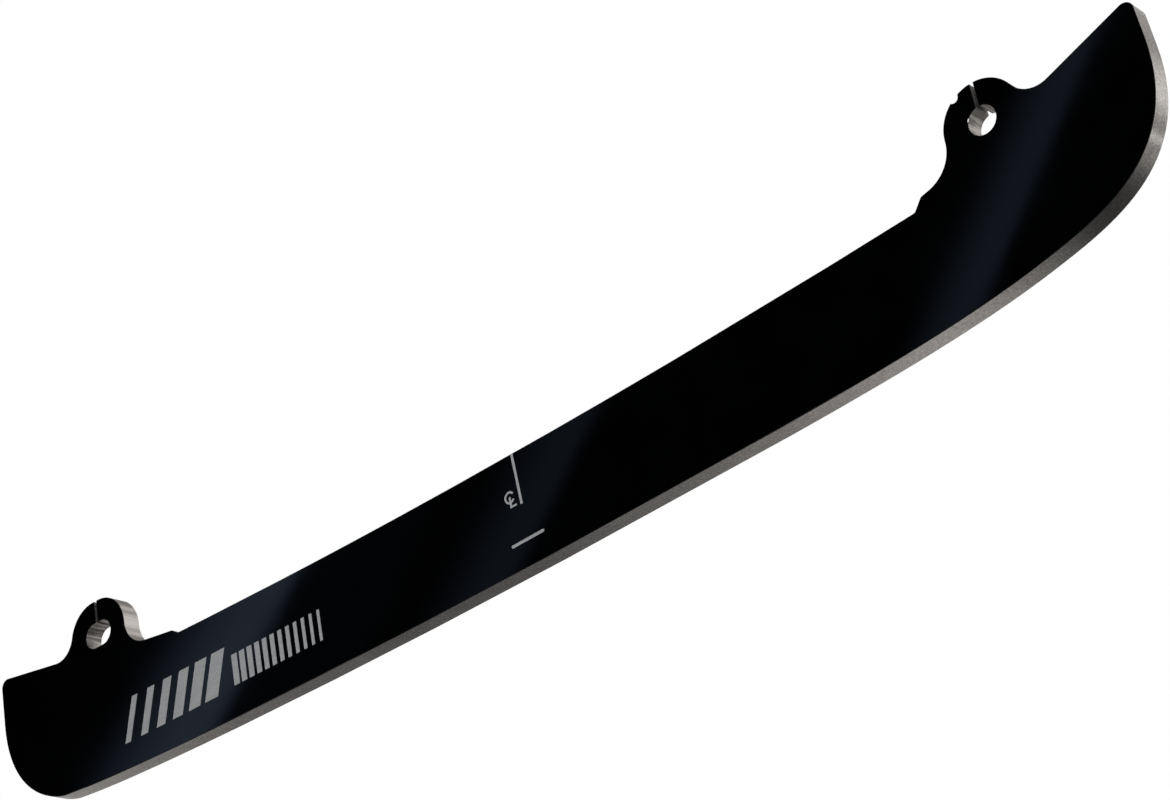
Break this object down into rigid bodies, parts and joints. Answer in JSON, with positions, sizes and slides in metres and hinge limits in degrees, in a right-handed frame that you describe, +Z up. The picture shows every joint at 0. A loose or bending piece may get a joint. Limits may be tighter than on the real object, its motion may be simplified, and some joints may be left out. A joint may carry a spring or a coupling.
{
  "type": "ice skate runner",
  "caption": "Black-coated steel runner for an ice-hockey skate: a thin rockered plate with an upswept toe, a rounded heel and ring tabs for the holder's pins.",
  "frame": {"origin": "under the middle of the overall length, level with the lowest point of the running edge, midway through the thickness", "axes": "+X towards the toe, +Z up towards the tabs, +Y through the thickness"},
  "size_m": [0.2714, 0.004, 0.0415],
  "materials": {
    "black_coated_steel": "gloss"
  },
  "bodies": {
    "root": {"runner_blade": "black_coated_steel"}
  },
  "joints": []
}
